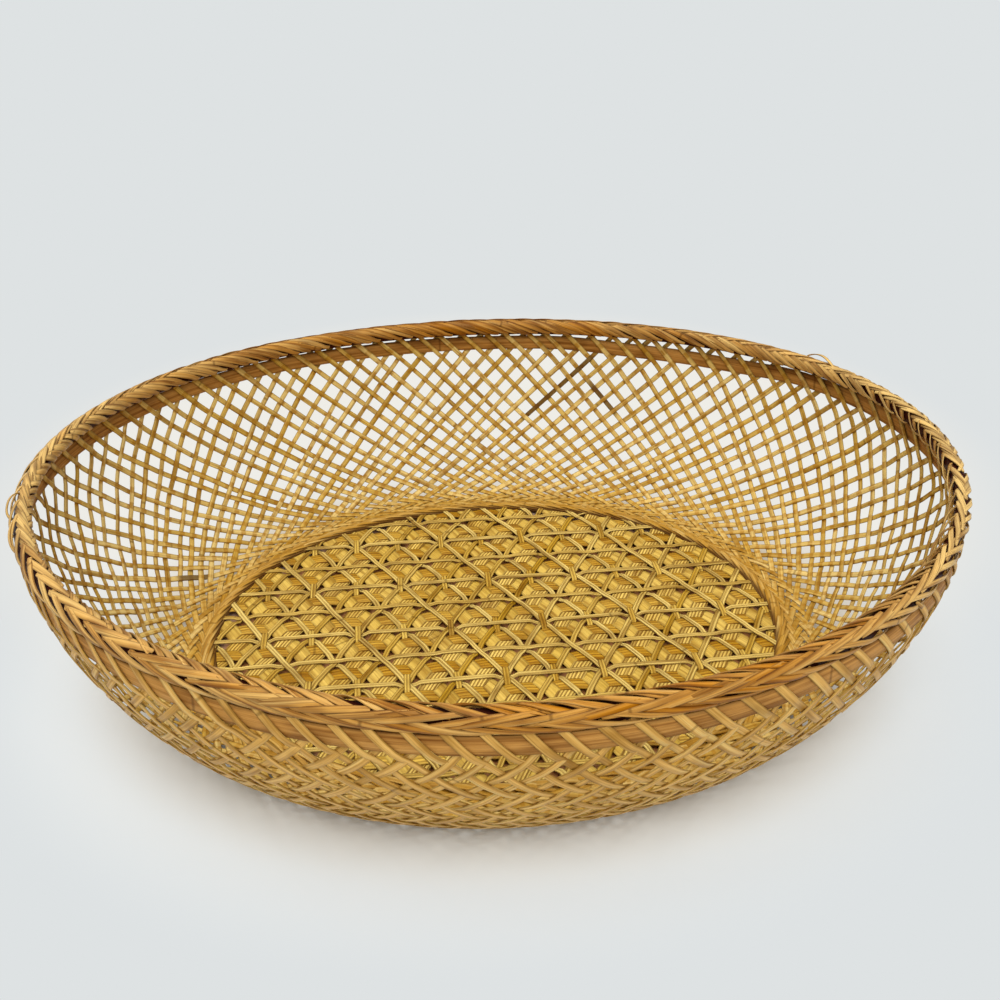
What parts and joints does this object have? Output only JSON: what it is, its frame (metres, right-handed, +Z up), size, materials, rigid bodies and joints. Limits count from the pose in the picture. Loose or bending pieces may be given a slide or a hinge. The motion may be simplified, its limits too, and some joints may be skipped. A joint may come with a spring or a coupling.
{
  "type": "bamboo basket",
  "caption": "Oval open basket woven from split bamboo, with an openwork floor, a flared diamond-lattice wall and a plaited rim.",
  "frame": {"origin": "on the surface that the basket stands on, under the middle of its oval", "axes": "+X along the basket's length, +Y across it, +Z up out of its mouth"},
  "size_m": [0.33, 0.276, 0.0823],
  "materials": {
    "wall_strips": "satin split bamboo",
    "rim_band": "satin split bamboo",
    "plait": "satin split bamboo",
    "mat_wide": "satin split bamboo",
    "mat_narrow": "satin split bamboo",
    "mat_tie": "satin split bamboo"
  },
  "bodies": {
    "root": {"wall_outer_strips_1": "wall_strips", "wall_outer_strips_2": "wall_strips", "wall_outer_strips_3": "wall_strips", "wall_outer_strips_4": "wall_strips", "wall_inner_strips_1": "wall_strips", "wall_inner_strips_2": "wall_strips", "wall_inner_strips_3": "wall_strips", "wall_inner_strips_4": "wall_strips", "rim_band": "rim_band", "plait_outer_row": "plait", "plait_crown_row": "plait", "plait_inner_row": "plait", "mat_rising_strips": "mat_wide", "mat_falling_strips": "mat_wide", "mat_long_narrow_01": "mat_narrow", "mat_long_narrow_02": "mat_narrow", "mat_long_narrow_03": "mat_narrow", "mat_long_narrow_04": "mat_narrow", "mat_long_narrow_05": "mat_narrow", "mat_long_narrow_06": "mat_narrow", "mat_long_narrow_07": "mat_narrow", "mat_long_narrow_08": "mat_narrow", "mat_long_narrow_09": "mat_narrow", "mat_long_narrow_10": "mat_narrow", "mat_long_narrow_11": "mat_narrow", "mat_long_wide_01": "mat_wide", "mat_long_wide_02": "mat_wide", "mat_long_wide_03": "mat_wide", "mat_long_wide_04": "mat_wide", "mat_long_wide_05": "mat_wide", "mat_long_wide_06": "mat_wide", "mat_long_wide_07": "mat_wide", "mat_long_wide_08": "mat_wide", "mat_long_wide_09": "mat_wide", "mat_long_wide_10": "mat_wide", "mat_long_wide_11": "mat_wide", "mat_long_wide_12": "mat_wide", "mat_cross_tie_01": "mat_tie", "mat_cross_tie_02": "mat_tie", "mat_cross_tie_03": "mat_tie", "mat_cross_tie_04": "mat_tie", "mat_cross_tie_05": "mat_tie", "mat_cross_tie_06": "mat_tie", "mat_cross_tie_07": "mat_tie", "mat_cross_tie_08": "mat_tie", "mat_cross_tie_09": "mat_tie", "mat_cross_tie_10": "mat_tie", "mat_cross_tie_11": "mat_tie", "mat_cross_tie_12": "mat_tie", "mat_cross_tie_13": "mat_tie"}
  },
  "joints": []
}
